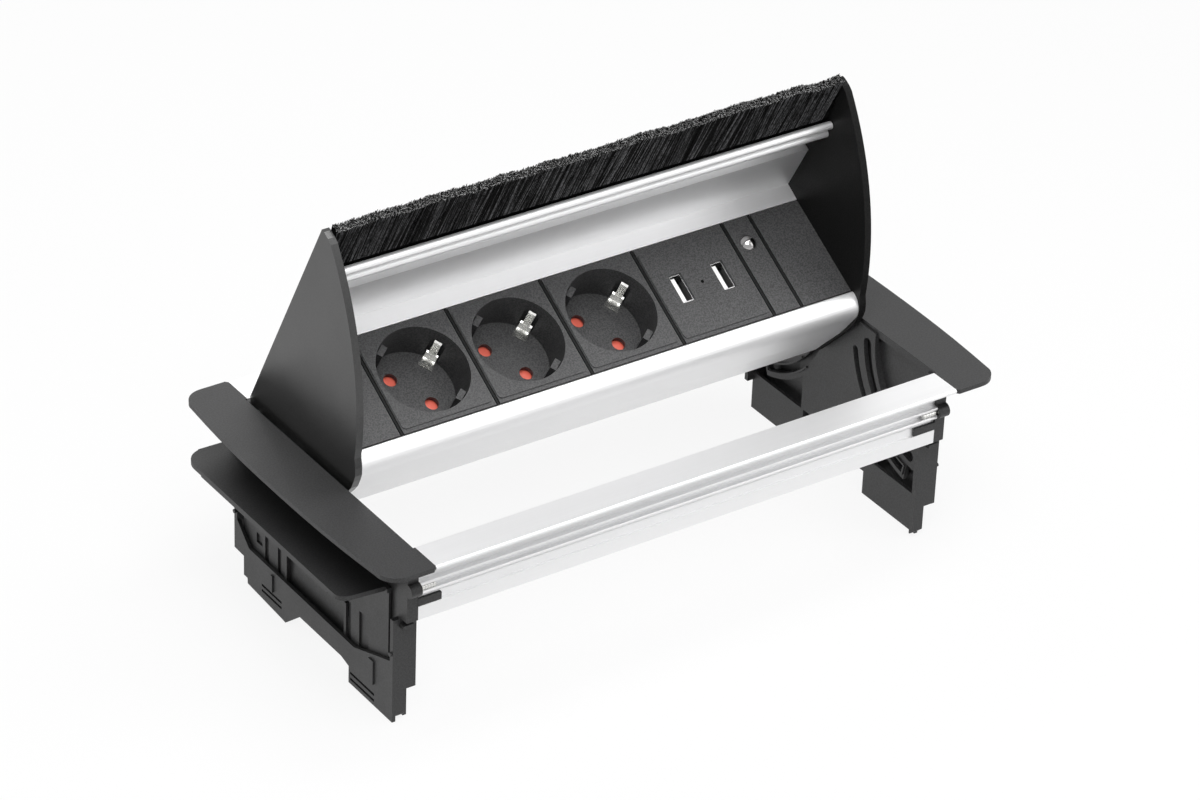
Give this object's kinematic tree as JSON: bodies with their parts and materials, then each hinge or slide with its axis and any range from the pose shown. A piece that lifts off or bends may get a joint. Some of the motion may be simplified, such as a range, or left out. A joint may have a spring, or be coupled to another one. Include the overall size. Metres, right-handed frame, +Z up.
{
  "type": "in-desk power module",
  "caption": "Flip-up power module for a desk cut-out: aluminium body with earthed sockets, charging ports and a cable brush, in a frame of rails and end brackets.",
  "frame": {"origin": "desk surface plane at the centre of the cut-out", "axes": "+X along the module to the user's right, +Y to the back, +Z up out of the desk"},
  "size_m": [0.3024, 0.1582, 0.1856],
  "materials": {
    "black_plastic": "fine satin moulding",
    "panel_plastic": "fine matte moulding",
    "inner_plastic": "plain moulding",
    "anodised_aluminium": "satin anodised",
    "steel": "bright zinc plate",
    "brass": "bare brass",
    "shutter_red": "moulded red",
    "tongue_white": "moulded white",
    "board_green": "coated board",
    "capacitor_blue": "shrink sleeve",
    "lamp_clear": "clear moulding",
    "lamp_white": "clear moulding",
    "bristle": "dense nylon bristle",
    "rubber": "moulded rubber"
  },
  "bodies": {
    "frame": {"right_bracket": "black_plastic", "left_bracket": "black_plastic", "front_rail": "anodised_aluminium", "rear_rail": "anodised_aluminium", "rail_screws": "steel", "hinge_pins": "steel"},
    "right_wing": {"right_clamp_wing": "black_plastic"},
    "left_wing": {"left_clamp_wing": "black_plastic"},
    "module": {"body_profile": "anodised_aluminium", "right_cheek": "black_plastic", "left_cheek": "black_plastic", "guide_pins": "steel", "cheek_screws": "steel", "brush_holder": "anodised_aluminium", "brush_strip": "bristle", "panel_frame": "panel_plastic", "left_blank": "panel_plastic", "right_blank": "panel_plastic", "socket_insert_1": "panel_plastic", "socket_insert_2": "panel_plastic", "socket_insert_3": "panel_plastic", "socket_base_1": "inner_plastic", "socket_base_2": "inner_plastic", "socket_base_3": "inner_plastic", "shutter_springs": "steel", "pin_sleeves": "brass", "earth_clips": "steel", "live_bar": "brass", "neutral_bar": "brass", "earth_bar": "brass", "terminal_block": "inner_plastic", "terminal_screws": "steel", "usb_insert": "panel_plastic", "usb_shells": "steel", "usb_tongues": "tongue_white", "usb_board": "board_green", "usb_transformer": "inner_plastic", "usb_capacitors": "capacitor_blue", "usb_light_pipe": "lamp_clear", "usb_cover": "inner_plastic", "indicator_plate": "panel_plastic", "indicator_dome": "lamp_clear", "indicator_lamp": "lamp_white", "cable_gland": "rubber"},
    "shutter_a": {"shutter_1": "shutter_red"},
    "shutter_b": {"shutter_2": "shutter_red"},
    "shutter_c": {"shutter_3": "shutter_red"}
  },
  "joints": [
    {"name": "lid_hinge", "type": "hinge", "parent": "frame", "child": "module", "pos_m": [0, 0.06, -0.0038], "axis": [1, 0, 0], "range_deg": [0, 62.3]},
    {"name": "right_wing_slide", "type": "slide", "parent": "frame", "child": "right_wing", "axis": [0, 0, 1], "range_m": [-0.018, 0]},
    {"name": "left_wing_slide", "type": "slide", "parent": "frame", "child": "left_wing", "axis": [0, 0, 1], "range_m": [0, 0.0176]},
    {"name": "shutter_turn_a", "type": "hinge", "parent": "module", "child": "shutter_a", "pos_m": [-0.0758, 0.00999, 0.02804], "axis": [0, -0.5015, 0.8652], "range_deg": [0, 42]},
    {"name": "shutter_turn_b", "type": "hinge", "parent": "module", "child": "shutter_b", "pos_m": [-0.0308, 0.00999, 0.02804], "axis": [0, -0.5015, 0.8652], "range_deg": [0, 42]},
    {"name": "shutter_turn_c", "type": "hinge", "parent": "module", "child": "shutter_c", "pos_m": [0.0142, 0.00999, 0.02804], "axis": [0, -0.5015, 0.8652], "range_deg": [0, 42]}
  ]
}
